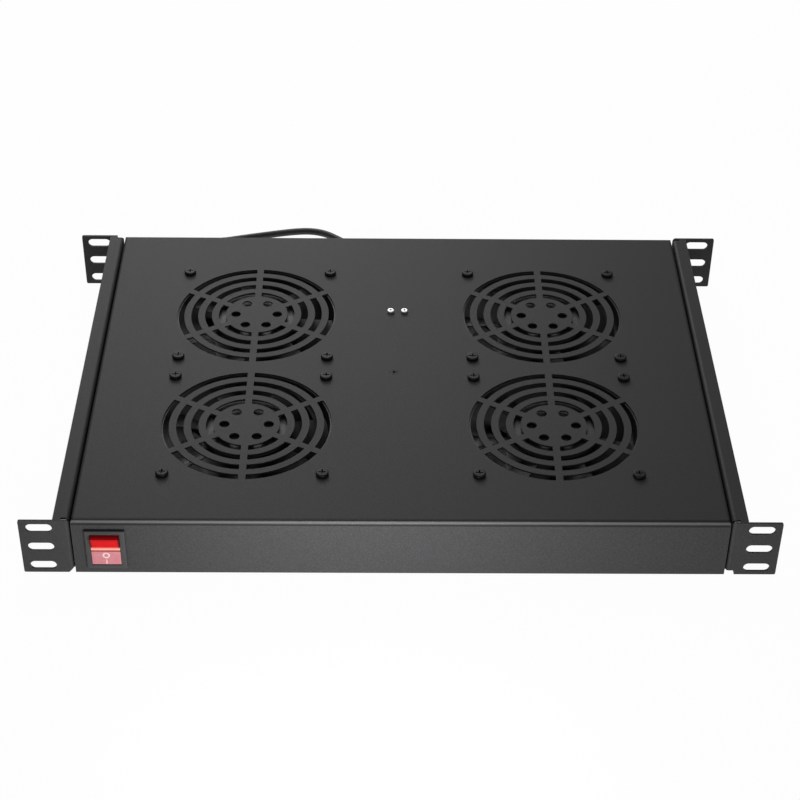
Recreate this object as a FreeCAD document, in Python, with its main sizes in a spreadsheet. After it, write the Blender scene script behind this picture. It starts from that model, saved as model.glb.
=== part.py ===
import FreeCAD, Part
import math
import os
import re
import Sketcher

# A one-unit cooling tray for a 19-inch rack: four 120 mm mains fans under a folded sheet-steel
# tray with punched grilles, between two channel rails whose ears bolt to the rack's posts.
# Millimetres. X to the right, Y to the rear, Z up, with Z = 0 on the bottom edges of the tray.

os.makedirs("parts", exist_ok=True)
doc = FreeCAD.newDocument("RackFanTray")
Vector = FreeCAD.Vector

# The sizes that can be chosen one by one.
SIZES = {
    # folded tray
    "tray_width": 421.2,
    "tray_height": 44,
    "tray_sheet": 1.2,
    "tray_bend": 2.2,
    "rear_inset": 1,
    "seam_gap": 0.4,
    "seam_relief": 1.1,
    # channel rails and their ears
    "overall_width": 488,
    "rail_length": 331,
    "rail_sheet": 1.5,
    "rail_bend": 2.6,
    "rail_gap": 1,
    "rail_flange": 10.4,
    "notch_width": 5.4,
    "notch_height": 3.5,
    "corner_cut": 3.4,
    "step_width": 5,
    "step_depth": 2,
    "relief_slot": 2,
    "ear_slot_length": 17,
    "ear_slot_width": 6.8,
    "ear_slot_spacing": 462,
    "unit_pitch": 15.875,
    "rail_screw_pitch": 120,
    # fans and their grilles
    "fan_size": 120,
    "fan_depth": 38,
    "fan_corner": 4,
    "fan_flange": 4,
    "fan_hole_inset": 7.5,
    "fan_side_room": 46.6,
    "fan_row_gap": 8,
    "fan_shift_y": -1.8,
    "duct_inset": 3.5,
    "duct_wall": 2.5,
    "hub_radius": 31,
    "hub_wall": 2.2,
    "hub_low": 6,
    "hub_high": 36,
    "hub_edge": 2,
    "boss_radius": 5,
    "boss_depth": 7,
    "blade_count": 7,
    "blade_root_chord": 30,
    "blade_tip_chord": 40,
    "blade_root_pitch": 45,
    "blade_tip_pitch": 28,
    "blade_thickness": 1.6,
    "tip_gap": 1.5,
    "motor_plate_radius": 29,
    "motor_plate_thickness": 4,
    "strut_width": 8,
    "tube_radius": 6.5,
    "tube_height": 23,
    "shaft_radius": 2,
    "shaft_end": 5.2,
    "bearing_radius": 5,
    "bearing_height": 4,
    "bearing_play": 0.04,
    "air_gap": 0.4,
    "cage_radius": 23.6,
    "cage_height": 18,
    "core_height": 12,
    "core_low": 11,
    "coil_radius": 19,
    "coil_height": 4.5,
    "slot_radius": 25,
    "slot_step": 10,
    "slot_width": 5,
    "spoke_width": 4.8,
    "eye_radius": 3.5,
    "eye_circle": 15,
    # fasteners
    "m4_radius": 2,
    "m4_hole": 2.25,
    "m4_head_radius": 4.3,
    "m4_head_height": 2.5,
    "m4_length": 10,
    "m4_nut_flat": 7,
    "m4_nut_height": 3.2,
    "m3_radius": 1.5,
    "m3_hole": 1.6,
    "m3_head_radius": 2.6,
    "m3_head_height": 1.9,
    "m3_nut_flat": 5.5,
    "m3_nut_height": 2.4,
    "recess_width": 0.9,
    "rail_screw_length": 9,
    # rocker switch
    "switch_inset": 21.1,
    "switch_z": 21,
    "bezel_width": 26,
    "bezel_height": 32.3,
    "bezel_thickness": 2,
    "bezel_corner": 1,
    "switch_width": 22,
    "switch_body": 28,
    "switch_depth": 23,
    "switch_fit": 0.15,
    "well_depth": 12,
    "rocker_width": 18.6,
    "rocker_half": 12,
    "rocker_slope": 7,
    "rocker_valley": 3,
    "rocker_recess": 0.2,
    "rocker_thickness": 4.5,
    "rocker_play": 0.3,
    "pin_radius": 1,
    "pin_play": 0.05,
    "lamp_radius": 1.6,
    "lamp_length": 9,
    "blade_width": 6.3,
    "blade_sheet": 0.8,
    "blade_length": 8,
    # mains cord, strain relief and plug
    "cord_radius": 2.75,
    "relief_inset": 30.6,
    "relief_z": 14,
    "relief_neck": 6,
    "relief_flange": 8.5,
    "relief_tail": 4.6,
    "relief_tail_length": 14,
    "relief_inside": 6,
    "relief_fit": 0.2,
    "plug_width": 25,
    "plug_height": 19,
    "plug_length": 34,
    "plug_boot": 16,
    "plug_blade_length": 17.5,
    "plug_blade_width": 6.3,
    "plug_blade_sheet": 1.5,
    "plug_blade_pitch": 12.7,
    "plug_pin_radius": 2.4,
    "hank_run": 110,
    "hank_fold": 16.5,
    "hank_left": -8,
    "plug_reach": 58,
    "plug_aside": 11,
    "hank_gap": 0.6,
    "tie_width": 4,
    "tie_sheet": 0.5,
    # terminal block, earth point and wiring
    "block_x": -1.25,
    "block_shift_y": 65.8,
    "block_pitch": 10,
    "block_depth": 20,
    "block_height": 14,
    "insert_radius": 2.6,
    "insert_bore": 1.7,
    "earth_x": -4.1,
    "earth_shift_y": -6.8,
    "earth_head_radius": 3.2,
    "lug_radius": 4.4,
    "lug_sheet": 0.8,
    "wire_radius": 1.1,
    "fan_cord_radius": 1.7,
    "loom_radius": 3,
    "fan_plug_width": 11,
    "fan_plug_height": 9,
    "fan_plug_length": 12,
    "lead_spread": 1.35,
    "lead_hang": 8,
    "sheath_end": 32,
    "clip_pad": 12,
    "clip_wall": 1.4,
    "clip_width": 7,
    "clip_height": 5,
}

# Places that follow from the sizes, each as a formula.
PLACES = {
    "tray_half": "tray_width / 2",
    "switch_x": "switch_inset - tray_half",
    "relief_x": "relief_inset - tray_half",
    "fan_hole_pitch": "fan_size - 2 * fan_hole_inset",
    "fan_pitch_x": "2 * (tray_half - fan_side_room - fan_size / 2)",
    "fan_pitch_y": "fan_size + fan_row_gap",
    "duct_radius": "fan_size / 2 - duct_inset",
    "switch_reach": "bezel_thickness - rocker_recess + rocker_half * sin(2 * rocker_slope)",
    "ear_front": "(switch_reach - rail_length) / 2",
    "ear_rear": "ear_front + rail_length",
    "tray_front": "ear_front",
    "tray_rear": "ear_rear - rear_inset",
    "tray_middle": "(tray_front + tray_rear) / 2",
    "top_under": "tray_height - tray_sheet",
    "wall_front": "tray_front + tray_sheet",
    "wall_rear": "tray_rear - tray_sheet",
    "web_near": "tray_half + rail_gap",
    "web_far": "web_near + rail_sheet",
    "flange_far": "web_near + rail_flange",
    "ear_far": "overall_width / 2",
    "fan_base": "top_under - fan_depth",
    "fan_middle_y": "tray_middle + fan_shift_y",
    "duct_outside": "duct_radius + duct_wall",
    "blade_tip": "duct_radius - tip_gap",
    "hub_inside": "hub_radius - hub_wall",
    "core_radius": "cage_radius - air_gap",
    "bezel_front": "tray_front - bezel_thickness",
    "rocker_reach": "rocker_valley + rocker_half * sin(rocker_slope)",
    "rocker_radius": "sqrt(rocker_reach ^ 2 + (rocker_half * cos(rocker_slope)) ^ 2)",
    "pivot_y": "bezel_front + rocker_recess + rocker_valley * cos(rocker_slope)",
    "switch_back": "tray_front + switch_depth",
    "relief_end": "tray_rear + relief_tail_length",
    "cord_width": "2 * cord_radius",
    "hank_outside": "hank_fold + 3 * cord_radius",
    "hank_y": "tray_rear + hank_gap + hank_outside",
    "hank_low": "tie_sheet",
    "block_y": "tray_middle + block_shift_y",
    "block_low": "top_under - block_height",
    "block_width": "3 * block_pitch",
    "insert_z": "top_under - block_height / 2",
    "earth_y": "tray_middle + earth_shift_y",
}


def named(text, own=()):
    """The formula with every size and place pointed at its sheet."""

    def point(match):
        word = match[0]
        if word in own:
            return word
        if word in SIZES:
            return "Sizes." + word
        return "Places." + word if word in PLACES else word

    return re.sub(r"[A-Za-z_]\w*", point, str(text))


def fill(title, cells, formulas):
    sheet = doc.addObject("Spreadsheet::Sheet", title)
    for row, (alias, content) in enumerate(cells.items(), 1):
        sheet.set(f"A{row}", alias)
        sheet.set(f"B{row}", "=" + named(content, cells) if formulas else str(content))
        sheet.setAlias(f"B{row}", alias)
    doc.recompute()
    return sheet


sizes_sheet = fill("Sizes", SIZES, False)
places_sheet = fill("Places", PLACES, True)


def size(alias):
    sheet = sizes_sheet if alias in SIZES else places_sheet
    return float(sheet.get(alias))


# Helpers that every sub-part uses.
finished = []


def keep(label, solid):
    """Names a finished sub-part, which becomes one file."""
    solid.Label = label
    finished.append(solid)
    return solid


def bind(thing, **formulas):
    for prop, formula in formulas.items():
        thing.setExpression(prop.replace("__", "."), named(formula))
    return thing


def block(name, across, deep, high):
    """A box between three pairs of formulas, along X, Y and Z."""
    pairs = dict(zip("xyz", (across, deep, high)))
    solid = doc.addObject("Part::Box", name)
    for side, axis in zip(("Length", "Width", "Height"), "xyz"):
        low, high_end = pairs[axis]
        bind(solid, **{side: f"({high_end}) - ({low})", f"Placement__Base__{axis}": low})
    return solid


TURNS = {
    "+Z": FreeCAD.Rotation(),
    "+X": FreeCAD.Rotation(Vector(0, 0, 1), Vector(1, 0, 0)),
    "+Y": FreeCAD.Rotation(Vector(0, 0, 1), Vector(0, 1, 0)),
}


def rod(name, radius, length, at, axis="+Z"):
    """A cylinder that starts at three formulas and runs along an axis."""
    solid = doc.addObject("Part::Cylinder", name)
    solid.Placement = FreeCAD.Placement(Vector(), TURNS[axis])
    bind(solid, Radius=radius, Height=length)
    return bind(solid, Placement__Base__x=at[0], Placement__Base__y=at[1], Placement__Base__z=at[2])


def joined(name, *solids):
    whole = doc.addObject("Part::MultiFuse", name)
    whole.Shapes = list(solids)
    whole.Refine = True
    return whole


def group(name, *solids):
    """Separate solids that share one object."""
    whole = doc.addObject("Part::Compound", name)
    whole.Links = list(solids)
    return whole


def cut(name, solid, *tools):
    tool = tools[0] if len(tools) == 1 else group(name + "_tools", *tools)
    rest = doc.addObject("Part::Cut", name)
    rest.Base = solid
    rest.Tool = tool
    return rest


def edges_on(shape, *sides):
    """The numbers of the edges that lie on all the named sides of the shape's own box, such as x-."""
    bounds = shape.BoundBox
    wanted = []
    for number, edge in enumerate(shape.Edges, 1):
        reach = edge.BoundBox
        on_all = True
        for side in sides:
            axis = side[0].upper()
            level = getattr(bounds, axis + ("Min" if side[1] == "-" else "Max"))
            low, high = getattr(reach, axis + "Min"), getattr(reach, axis + "Max")
            on_all = on_all and abs(low - level) < 1e-4 and abs(high - level) < 1e-4
        if on_all:
            wanted.append(number)
    return wanted


def rounded(name, solid, radius, *edge_sides):
    """A Part fillet of one radius on the edges that each group of sides names."""
    doc.recompute()
    numbers = sorted({n for sides in edge_sides for n in edges_on(solid.Shape, *sides)})
    smooth = doc.addObject("Part::Fillet", name)
    smooth.Base = solid
    smooth.Edges = [(n, radius, radius) for n in numbers]
    return smooth


def moved(name, solid, x="0", y="0", z="0", turn=0):
    """A copy of a sub-part that follows the first, at three formulas and turned about Z."""
    copy = doc.addObject("Part::Compound", name)
    copy.Links = [solid]
    copy.Placement = FreeCAD.Placement(Vector(), FreeCAD.Rotation(Vector(0, 0, 1), turn))
    return bind(copy, Placement__Base__x=x, Placement__Base__y=y, Placement__Base__z=z)


def shaped(name, shape):
    """A feature whose shape is made with Part's own functions."""
    feature = doc.addObject("Part::Feature", name)
    feature.Shape = shape
    return feature


# Sketches on a body's own planes.
def new_body(name):
    return doc.addObject("PartDesign::Body", name)


def sketch_on(body, name, role, offset="0"):
    sketch = body.newObject("Sketcher::SketchObject", name)
    plane = [feature for feature in body.Origin.OriginFeatures if feature.Role == role][0]
    sketch.AttachmentSupport = (plane, [""])
    sketch.MapMode = "FlatFace"
    sketch.setExpression("AttachmentOffset.Base.z", named(offset))
    return sketch


def hold(sketch, formula, *constraint):
    number = sketch.addConstraint(Sketcher.Constraint(*constraint, 1.0))
    sketch.setExpression(f"Constraints[{number}]", named(formula))


def rectangle(sketch, left, right, low, high):
    """A rectangle between formulas for its left, right, low and high sides."""
    first = sketch.GeometryCount
    corners = [Vector(0, 0), Vector(1, 0), Vector(1, 1), Vector(0, 1)]
    for n in range(4):
        sketch.addGeometry(Part.LineSegment(corners[n], corners[(n + 1) % 4]))
    for n in range(4):
        sketch.addConstraint(Sketcher.Constraint("Coincident", first + n, 2, first + (n + 1) % 4, 1))
        sketch.addConstraint(Sketcher.Constraint("Vertical" if n % 2 else "Horizontal", first + n))
    hold(sketch, left, "DistanceX", -1, 1, first, 1)
    hold(sketch, low, "DistanceY", -1, 1, first, 1)
    hold(sketch, f"({right}) - ({left})", "DistanceX", first, 1, first, 2)
    hold(sketch, f"({high}) - ({low})", "DistanceY", first + 1, 1, first + 1, 2)


def outline(sketch, points):
    """A closed outline of straight sides through points whose two coordinates are formulas."""
    first = sketch.GeometryCount
    count = len(points)
    turn = 2 * math.pi / count
    seeds = [Vector(math.cos(n * turn), math.sin(n * turn)) for n in range(count)]
    for n in range(count):
        sketch.addGeometry(Part.LineSegment(seeds[n], seeds[(n + 1) % count]))
    for n in range(count):
        sketch.addConstraint(Sketcher.Constraint("Coincident", first + n, 2, first + (n + 1) % count, 1))
        hold(sketch, points[n][0], "DistanceX", -1, 1, first + n, 1)
        hold(sketch, points[n][1], "DistanceY", -1, 1, first + n, 1)


def pad(body, sketch, length, backwards=False):
    feature = body.newObject("PartDesign::Pad", sketch.Name + "_pad")
    feature.Profile = sketch
    feature.Reversed = backwards
    return bind(feature, Length=length)


def pocket(body, sketch, depth, backwards=False):
    """A pocket that has to take material away."""
    doc.recompute()
    before = body.Shape.Volume
    feature = body.newObject("PartDesign::Pocket", sketch.Name + "_pocket")
    feature.Profile = sketch
    feature.Reversed = backwards
    bind(feature, Length=depth)
    doc.recompute()
    if body.Shape.Volume >= before - 1e-6:
        raise RuntimeError(f"{sketch.Name} cuts nothing")
    return feature


def bend(body, feature, radius, *edge_sides):
    """A fillet of one radius on the edges that each group of sides names."""
    doc.recompute()
    numbers = sorted({n for sides in edge_sides for n in edges_on(feature.Shape, *sides)})
    smooth = body.newObject("PartDesign::Fillet", feature.Name + "_bend")
    smooth.Base = (feature, [f"Edge{n}" for n in numbers])
    return bind(smooth, Radius=radius)


def turned(body, sketch, axis_role):
    """A full turn of a sketch about one of the body's own axes."""
    feature = body.newObject("PartDesign::Revolution", sketch.Name + "_turn")
    feature.Profile = sketch
    feature.ReferenceAxis = ([f for f in body.Origin.OriginFeatures if f.Role == axis_role][0], [""])
    feature.Angle = 360
    return feature


# Fasteners. A screw's seat is at its own Z = 0, with the head above and the shank below.
def screw(name, radius, length, head_radius, head_height, sunk=False):
    shank = rod(name + "_shank", radius, length, ("0", "0", f"-({length})"))
    if sunk:
        head = doc.addObject("Part::Cone", name + "_head")
        bind(head, Radius1=radius, Radius2=head_radius, Height=f"{head_radius} - {radius}")
        bind(head, Placement__Base__z=f"-({head_radius} - {radius})")
        top = "0"
    else:
        plain = rod(name + "_plain", head_radius, head_height, ("0", "0", "0"))
        head = rounded(name + "_head", plain, 0.4 * size(head_height), ("z+",))
        top = head_height
    arm = f"{head_radius} * 0.55"
    deep = f"{top} - {radius} * 0.6"
    first = block(name + "_cross_1", (f"-{arm}", arm), ("-recess_width / 2", "recess_width / 2"), (deep, f"{top} + 1"))
    second = block(name + "_cross_2", ("-recess_width / 2", "recess_width / 2"), (f"-{arm}", arm), (deep, f"{top} + 1"))
    return cut(name, joined(name + "_blank", shank, head), first, second)


def nut(name, flat, height, hole):
    """A hexagon nut whose upper face is at its own Z = 0."""
    body = doc.addObject("Part::Prism", name + "_hexagon")
    body.Polygon = 6
    bind(body, Circumradius=f"{flat} / sqrt(3)", Height=height, Placement__Base__z=f"-({height})")
    bore = rod(name + "_bore", hole, f"{height} + 2", ("0", "0", f"-({height}) - 1"))
    return cut(name, body, bore)


def placed(name, source, spots):
    """Copies of a fastener as separate solids. A spot is a point and the way the head faces."""
    doc.recompute()
    copies = []
    for point, facing in spots:
        copy = source.Shape.copy()
        turn = FreeCAD.Rotation(Vector(0, 0, 1), facing)
        copy.Placement = FreeCAD.Placement(point, turn).multiply(copy.Placement)
        copies.append(copy)
    return shaped(name, Part.makeCompound(copies))


UP = Vector(0, 0, 1)
m4_screw = screw("m4_screw", "m4_radius", "m4_length", "m4_head_radius", "m4_head_height")
m4_side_screw = screw("m4_side_screw", "m4_radius", "rail_screw_length", "m4_head_radius", "m4_head_height")
m4_sunk_screw = screw("m4_sunk_screw", "m4_radius", "m4_length", "earth_head_radius", "0", sunk=True)
m3_length = "block_height + tray_sheet + m3_nut_height + 1.5"
m3_screw = screw("m3_screw", "m3_radius", m3_length, "m3_head_radius", "m3_head_height")
m4_nut = nut("m4_nut", "m4_nut_flat", "m4_nut_height", "m4_radius")
m3_nut = nut("m3_nut", "m3_nut_flat", "m3_nut_height", "m3_radius")

FANS = {
    "front_left": ("-fan_pitch_x / 2", "fan_middle_y - fan_pitch_y / 2", 0),
    "front_right": ("fan_pitch_x / 2", "fan_middle_y - fan_pitch_y / 2", 23),
    "rear_left": ("-fan_pitch_x / 2", "fan_middle_y + fan_pitch_y / 2", 38),
    "rear_right": ("fan_pitch_x / 2", "fan_middle_y + fan_pitch_y / 2", 11),
}


def fan_centres():
    half_x = size("fan_pitch_x") / 2
    half_y = size("fan_pitch_y") / 2
    middle = size("fan_middle_y")
    return [(x, middle + y) for y in (-half_y, half_y) for x in (-half_x, half_x)]


def fan_holes():
    half = size("fan_hole_pitch") / 2
    return [(x + i, y + j) for x, y in fan_centres() for i in (-half, half) for j in (-half, half)]


def rail_holes():
    pitch = size("rail_screw_pitch")
    return [size("tray_middle") + pitch * n for n in (-1, 0, 1)]


def block_holes():
    half = size("block_pitch") / 2
    return [size("block_x") - half, size("block_x") + half]


# The tray: one sheet with its four sides folded down, open underneath. Each side wall butts
# against the front and rear walls with an open seam that ends in a round relief.
def grille():
    """Four rings of slots about six round eyes, cut by six spokes."""
    rings = []
    for n in range(4):
        middle = f"(slot_radius + {n} * slot_step)"
        outer = rod(f"ring_{n}_outer", f"{middle} + slot_width / 2", "4 * tray_sheet", ("0", "0", "-2 * tray_sheet"))
        inner = rod(f"ring_{n}_inner", f"{middle} - slot_width / 2", "5 * tray_sheet", ("0", "0", "-2.5 * tray_sheet"))
        rings.append(cut(f"ring_{n}", outer, inner))
    spokes = []
    reach = "(slot_radius + 4 * slot_step)"
    for n in range(3):
        bar = block(f"spoke_{n}", (f"-{reach}", reach), ("-spoke_width / 2", "spoke_width / 2"),
                    ("-3 * tray_sheet", "3 * tray_sheet"))
        spokes.append(moved(f"spoke_{n}_turned", bar, turn=30 + 60 * n))
    slots = cut("grille_slots", group("grille_rings", *rings), *spokes)
    eyes = []
    for n in range(6):
        spot = (f"eye_circle * cos({60 * n})", f"eye_circle * sin({60 * n})", "-2 * tray_sheet")
        eyes.append(rod(f"eye_{n}", "eye_radius", "4 * tray_sheet", spot))
    return group("grille", slots, *eyes)


def hole_tools(name, radius, spots, facing, length):
    """Round cutters centred on their spots."""
    start = facing * (-length / 2)
    return shaped(name, Part.makeCompound([Part.makeCylinder(radius, length, s + start, facing) for s in spots]))


def tray_body():
    body = new_body("tray_fold")
    plan = sketch_on(body, "tray_plan", "XY_Plane")
    rectangle(plan, "-tray_half", "tray_half", "tray_front", "tray_rear")
    solid = pad(body, plan, "tray_height")
    edges = bend(body, solid, "tray_bend", ("z+", "y-"), ("z+", "y+"), ("z+", "x-"), ("z+", "x+"))
    doc.recompute()
    open_face = [n for n, face in enumerate(edges.Shape.Faces, 1) if face.BoundBox.ZMax < 1e-6][0]
    shell = body.newObject("PartDesign::Thickness", "tray_shell")
    shell.Base = (edges, [f"Face{open_face}"])
    shell.Reversed = True
    bind(shell, Value="tray_sheet")
    doc.recompute()

    tools = []
    punch = grille()
    for name, (x, y, _) in FANS.items():
        tools.append(moved("grille_" + name, punch, x, y, "tray_height"))
    top = size("tray_height")
    wide = 4 * size("tray_bend")
    spots = [Vector(x, y, top) for x, y in fan_holes()]
    tools.append(hole_tools("fan_hole_tools", size("m4_hole"), spots, UP, wide))
    spots = [Vector(x, size("block_y"), top) for x in block_holes()]
    tools.append(hole_tools("block_hole_tools", size("m3_hole"), spots, UP, wide))
    spots = [Vector(side * size("tray_half"), y, top / 2) for y in rail_holes() for side in (-1, 1)]
    tools.append(hole_tools("side_hole_tools", size("m4_hole"), spots, Vector(1, 0, 0), wide))
    sink = doc.addObject("Part::Cone", "earth_sink")
    depth = "(earth_head_radius - m4_radius + 0.1)"
    bind(sink, Radius1="m4_radius", Radius2="earth_head_radius + 0.1", Height=depth)
    bind(sink, Placement__Base__x="earth_x", Placement__Base__y="earth_y", Placement__Base__z=f"tray_height - {depth}")
    through = rod("earth_hole", "m4_radius + 0.1", "4 * tray_bend", ("earth_x", "earth_y", "tray_height - 2 * tray_bend"))
    tools += [sink, through]
    tools.append(block(
        "switch_cutout",
        ("switch_x - switch_width / 2 - switch_fit", "switch_x + switch_width / 2 + switch_fit"),
        ("tray_front - 1", "wall_front + 1"),
        ("switch_z - switch_body / 2 - switch_fit", "switch_z + switch_body / 2 + switch_fit"),
    ))
    tools.append(rod("relief_hole", "relief_neck + relief_fit", "4 * tray_bend",
                     ("relief_x", "tray_rear - 2 * tray_bend", "relief_z"), "+Y"))
    seam_top = "tray_height - tray_bend"
    for side in (-1, 1):
        across = ("tray_half - 2 * tray_sheet", "tray_half + 1")
        if side < 0:
            across = ("-tray_half - 1", "-tray_half + 2 * tray_sheet")
        for row, low in (("front", "wall_front"), ("rear", "wall_rear - seam_gap")):
            label = f"{row}_{'left' if side < 0 else 'right'}"
            tools.append(block("seam_" + label, across, (low, f"{low} + seam_gap"), ("-1", seam_top)))
            middle = (across[0], f"{low} + seam_gap / 2", seam_top)
            tools.append(rod("seam_end_" + label, "seam_relief", "2 * tray_sheet + 1", middle, "+X"))
    return keep("tray_body", cut("tray_cut", body, *tools))


# The rails: a channel beside each side wall, with an ear bent outward at each end. The flanges
# stop short of the bend at a small slot. The foot of each bend is cut away, square on the right
# rail and across the corner on the left, where the rear bend is also stepped down on top.
def rail(label, side):
    def across(near, far):
        return (near, far) if side > 0 else (f"-({far})", f"-({near})")

    inner = "x-" if side > 0 else "x+"
    outside = block(label + "_outside", across("web_near", "flange_far"), ("ear_front", "ear_rear"), ("0", "tray_height"))
    corners = ((inner, "z+"), (inner, "z-"), (inner, "y-"), (inner, "y+"))
    shell = rounded(label + "_shell", outside, size("rail_bend"), *corners)
    room = block(label + "_room", across("web_far", "flange_far + 5"),
                 ("ear_front + rail_sheet", "ear_rear - rail_sheet"), ("rail_sheet", "tray_height - rail_sheet"))
    hollow = rounded(label + "_hollow", room, size("rail_bend") - size("rail_sheet"), *corners)
    channel = cut(label + "_channel", shell, hollow)
    ears = []
    for row, low in (("front", "ear_front"), ("rear", "ear_rear - rail_sheet")):
        plate = block(f"{label}_{row}_plate", across("web_near + rail_bend", "ear_far"),
                      (low, f"{low} + rail_sheet"), ("0", "tray_height"))
        outer = "x+" if side > 0 else "x-"
        ears.append(rounded(f"{label}_{row}_ear", plate, 1.2, (outer, "z+"), (outer, "z-")))
    blank = joined(label + "_blank", channel, *ears)
    tools = []
    for row, low, back in (("front", "ear_front", "ear_front + rail_sheet"),
                           ("rear", "ear_rear - rail_sheet", "ear_rear - rail_sheet - relief_slot")):
        for n in (-1, 0, 1):
            height = f"(tray_height / 2 + {n} * unit_pitch)"
            flat = "(ear_slot_length - ear_slot_width) / 2"
            middle = f"{side} * ear_slot_spacing / 2"
            bar = block(f"{label}_{row}_slot_{n + 1}", (f"{middle} - {flat}", f"{middle} + {flat}"),
                        (f"{low} - 1", f"{low} + rail_sheet + 1"),
                        (f"{height} - ear_slot_width / 2", f"{height} + ear_slot_width / 2"))
            tools.append(bar)
            for end in (-1, 1):
                tools.append(rod(f"{label}_{row}_slot_{n + 1}_end_{end + 1}", "ear_slot_width / 2", "rail_sheet + 2",
                                 (f"{middle} + {end} * {flat}", f"{low} - 1", height), "+Y"))
        for level, low_z, high_z in (("top", "tray_height - rail_bend", "tray_height + 1"), ("low", "-1", "rail_bend")):
            tools.append(block(f"{label}_{row}_{level}_relief", across("web_near - 1", "web_near + 2 * rail_bend"),
                               (back, f"{back} + relief_slot"), (low_z, high_z)))
        if side > 0:
            depth = "rail_bend" if row == "front" else "rail_sheet"
            tools.append(block(f"{label}_{row}_notch", across("web_near - 1", "web_near + notch_width"),
                               (f"{low} - 1", f"{low} + {depth} + 1"), ("-1", "notch_height")))
        else:
            corner = doc.addObject("Part::Prism", f"{label}_{row}_corner")
            corner.Polygon = 4
            corner.Placement = FreeCAD.Placement(Vector(), TURNS["+Y"])
            bind(corner, Circumradius="corner_cut", Height="rail_bend + 2")
            bind(corner, Placement__Base__x="-web_near", Placement__Base__y=f"{low} - 1")
            tools.append(corner)
    if side < 0:
        tools.append(block(f"{label}_rear_step", across("web_near - 1", "web_near + step_width"),
                           ("ear_rear - rail_bend", "ear_rear + 1"), ("tray_height - step_depth", "tray_height + 1")))
    spots = [Vector(side * size("web_near"), y, size("tray_height") / 2) for y in rail_holes()]
    tools.append(hole_tools(label + "_hole_tools", size("m4_hole"), spots, Vector(1, 0, 0), 4 * size("rail_sheet")))
    return keep(label, cut(label + "_cut", blank, *tools))


# One 120 mm mains fan, built about its own axis with Z = 0 on its lower face, and then repeated.
# Its die-cast frame is two square flanges joined by the duct, with a motor plate on four struts.
def fan_frame():
    half = "fan_size / 2"
    square = block("fan_square", (f"-{half}", half), (f"-{half}", half), ("0", "fan_depth"))
    corners = (("x-", "y-"), ("x-", "y+"), ("x+", "y-"), ("x+", "y+"))
    cast = rounded("fan_cast", square, size("fan_corner"), *corners)
    wide = f"({half} + 1)"
    around = block("fan_waist_block", (f"-{wide}", wide), (f"-{wide}", wide), ("fan_flange", "fan_depth - fan_flange"))
    waist = cut("fan_waist", around, rod("fan_duct", "duct_outside", "fan_depth", ("0", "0", "0")))
    bore = rod("fan_bore", "duct_radius", "fan_depth + 2", ("0", "0", "-1"))
    holes = []
    for i in (-1, 1):
        for j in (-1, 1):
            spot = (f"{i} * fan_hole_pitch / 2", f"{j} * fan_hole_pitch / 2", "-1")
            holes.append(rod(f"fan_hole_{i + 1}{j + 1}", "m4_hole", "fan_depth + 2", spot))
    ring = cut("fan_ring", cast, waist, bore, *holes)
    struts = []
    for n in range(2):
        arm = block(f"fan_strut_{n}", ("-duct_outside + 0.5", "duct_outside - 0.5"),
                    ("-strut_width / 2", "strut_width / 2"), ("0", "motor_plate_thickness"))
        struts.append(moved(f"fan_strut_{n}_turned", arm, turn=45 + 90 * n))
    plate = rod("fan_motor_plate", "motor_plate_radius", "motor_plate_thickness", ("0", "0", "0"))
    post = rod("fan_post", "tube_radius", "motor_plate_thickness + tube_height", ("0", "0", "0"))
    hollow = rod("fan_post_bore", "bearing_radius", "motor_plate_thickness + tube_height", ("0", "0", "1.2"))
    return cut("fan_frame", joined("fan_casting", ring, plate, post, *struts), hollow)


def blade_section(radius, chord, pitch, middle):
    """The closed outline of a cambered blade where it crosses one radius."""
    along = Vector(0, math.cos(math.radians(pitch)), math.sin(math.radians(pitch)))
    across = Vector(0, -along.z, along.y)
    centre = Vector(radius, 0, middle)
    thick = size("blade_thickness")
    camber = 0.09 * chord
    start = centre - along * (chord / 2)
    end = centre + along * (chord / 2)
    lip = across * (0.4 * thick)
    upper = Part.Arc(start + lip, centre + across * (camber + thick), end + lip).toShape()
    lower = Part.Arc(end, centre + across * camber, start).toShape()
    lead = Part.LineSegment(start, start + lip).toShape()
    trail = Part.LineSegment(end + lip, end).toShape()
    return Part.Wire([upper, trail, lower, lead])


def fan_blades():
    """A ring of twisted blades from inside the hub's wall to the tip."""
    middle = (size("hub_low") + size("hub_high")) / 2
    inside = size("hub_inside") + size("hub_wall") / 3
    first = inside - 6
    last = size("blade_tip") + 3
    sections = []
    for share in (0, 0.5, 1):
        radius = first + share * (last - first)
        chord = size("blade_root_chord") * (1 - share) + size("blade_tip_chord") * share
        pitch = size("blade_root_pitch") * (1 - share) + size("blade_tip_pitch") * share
        sections.append(blade_section(radius, chord, pitch, middle))
    blade = Part.makeLoft(sections, True, False)
    depth = size("fan_depth")
    sleeve = Part.makeCylinder(size("blade_tip"), depth).cut(Part.makeCylinder(inside, depth))
    blade = blade.common(sleeve)
    count = round(size("blade_count"))
    ring = []
    for n in range(count):
        copy = blade.copy()
        copy.rotate(Vector(), UP, 360 * n / count)
        ring.append(copy)
    return shaped("fan_blades", Part.makeCompound(ring))


def fan_impeller():
    """A cup over the motor, with its blades and a boss that grips the shaft."""
    body = new_body("hub_cup")
    half = sketch_on(body, "hub_half", "XZ_Plane")
    under = "hub_high - hub_wall"
    outline(half, [
        ("shaft_radius", under + " - boss_depth"), ("boss_radius", under + " - boss_depth"), ("boss_radius", under),
        ("hub_inside", under), ("hub_inside", "hub_low"), ("hub_radius", "hub_low"),
        ("hub_radius", "hub_high"), ("0", "hub_high"), ("0", "hub_high - 1"), ("shaft_radius", "hub_high - 1"),
    ])
    cup = turned(body, half, "Z_Axis")
    bend(body, cup, "hub_edge", ("z+",))
    return joined("fan_impeller", body, fan_blades())


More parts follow.
